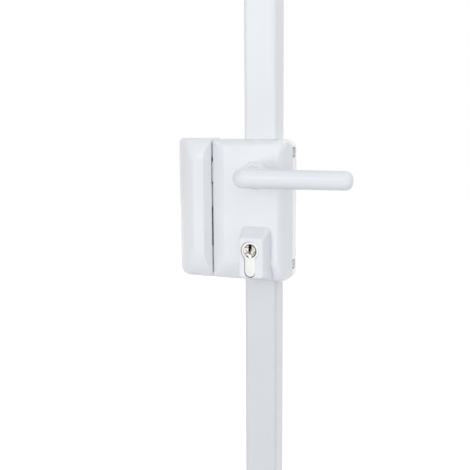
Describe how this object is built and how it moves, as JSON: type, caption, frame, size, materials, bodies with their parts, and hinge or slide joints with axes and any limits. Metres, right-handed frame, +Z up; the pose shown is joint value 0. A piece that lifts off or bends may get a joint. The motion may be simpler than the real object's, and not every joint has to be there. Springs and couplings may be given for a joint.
{
  "type": "multipoint rim lock",
  "caption": "White surface-mounted door lock with lever, keyed cylinder, side keeper and covered rods that run to a top and a bottom end keeper.",
  "frame": {"origin": "where the spindle's axis crosses the door face that the lock is screwed to", "axes": "+Z up along the rods, +Y back into the door, +X right, away from the side keeper"},
  "size_m": [0.194, 0.081, 0.843],
  "materials": {
    "white_paint": "glossy white paint on a zinc casting",
    "lever_paint": "glossy white paint on a zinc lever",
    "cover_paint": "white lacquer on an aluminium channel",
    "base_paint": "white paint on pressed steel",
    "zinc_steel": "zinc-plated steel",
    "bolt_nickel": "nickel-plated bolt",
    "hardened_steel": "plain machined steel",
    "cylinder_nickel": "satin nickel plate on brass",
    "plug_brass": "nickel-plated brass plug, worn",
    "bush_brass": "turned brass",
    "spring_steel": "spring wire",
    "screw_steel": "zinc-plated steel",
    "guide_nylon": "white nylon"
  },
  "bodies": {
    "case": {"base_plate": "base_paint", "case_cover": "white_paint", "case_cover_screws": "screw_steel", "bolt_guide": "zinc_steel", "follower_bush": "bush_brass", "upper_bridge": "zinc_steel", "lower_bridge": "zinc_steel", "gear_post": "zinc_steel", "gear_circlip": "spring_steel", "spring_bracket": "zinc_steel", "latch_spring": "spring_steel", "handle_spring": "spring_steel", "cylinder_body": "cylinder_nickel", "cylinder_screw": "screw_steel", "handle_rose": "white_paint", "upper_rod_cover": "cover_paint", "lower_rod_cover": "cover_paint", "upper_rod_guide": "guide_nylon", "lower_rod_guide": "guide_nylon", "side_keeper_base": "zinc_steel", "side_keeper_cover": "white_paint", "side_keeper_screws": "screw_steel", "top_keeper_base": "zinc_steel", "top_keeper_cover": "white_paint", "top_keeper_screws": "screw_steel", "bottom_keeper_base": "zinc_steel", "bottom_keeper_cover": "white_paint", "bottom_keeper_screws": "screw_steel"},
    "handle": {"handle_lever": "lever_paint", "handle_set_screw": "screw_steel", "spindle": "hardened_steel", "follower": "hardened_steel"},
    "latch": {"latch_bolt": "bolt_nickel"},
    "plug": {"cylinder_plug": "plug_brass", "cam_gear": "hardened_steel"},
    "gear": {"drive_wheel": "hardened_steel", "drive_pinion": "hardened_steel"},
    "dead_bolt": {"dead_bolt": "bolt_nickel", "dead_bolt_rack": "zinc_steel", "dead_bolt_rivets": "screw_steel"},
    "upper_rod": {"upper_rod": "zinc_steel", "upper_rack": "zinc_steel", "upper_rod_rivets": "screw_steel"},
    "lower_rod": {"lower_rod": "zinc_steel", "lower_rack": "zinc_steel", "lower_rod_rivets": "screw_steel"}
  },
  "joints": [
    {"name": "handle_turn", "type": "hinge", "parent": "case", "child": "handle", "pos_m": [0, -0.03, 0], "axis": [0, 1, 0], "range_deg": [0, 40], "stiffness_Nm_per_rad": 1.2, "springref_deg": -20.05, "deforming": ["handle_spring"]},
    {"name": "latch_slide", "type": "slide", "parent": "case", "child": "latch", "axis": [1, 0, 0], "range_m": [0, 0.0121], "deforming": ["latch_spring"]},
    {"name": "key_turn", "type": "hinge", "parent": "case", "child": "plug", "pos_m": [0, -0.0455, -0.07], "axis": [0, -1, 0], "range_deg": [0, 360]},
    {"name": "gear_turn", "type": "hinge", "parent": "case", "child": "gear", "pos_m": [0, -0.014, -0.049], "axis": [0, -1, 0], "range_deg": [-180.5, 0]},
    {"name": "dead_bolt_slide", "type": "slide", "parent": "case", "child": "dead_bolt", "axis": [1, 0, 0], "range_m": [0, 0.02199]},
    {"name": "upper_rod_slide", "type": "slide", "parent": "case", "child": "upper_rod", "axis": [0, 0, -1], "range_m": [0, 0.022]},
    {"name": "lower_rod_slide", "type": "slide", "parent": "case", "child": "lower_rod", "axis": [0, 0, 1], "range_m": [0, 0.022]}
  ],
  "couplings": [
    {"joint": "latch_slide", "follows": "handle_turn", "m_per_rad": 0.0172},
    {"joint": "key_turn", "follows": "dead_bolt_slide", "rad_per_m": 285.71},
    {"joint": "gear_turn", "follows": "dead_bolt_slide", "rad_per_m": -142.86},
    {"joint": "upper_rod_slide", "follows": "dead_bolt_slide", "ratio": 1},
    {"joint": "lower_rod_slide", "follows": "dead_bolt_slide", "ratio": 1}
  ]
}
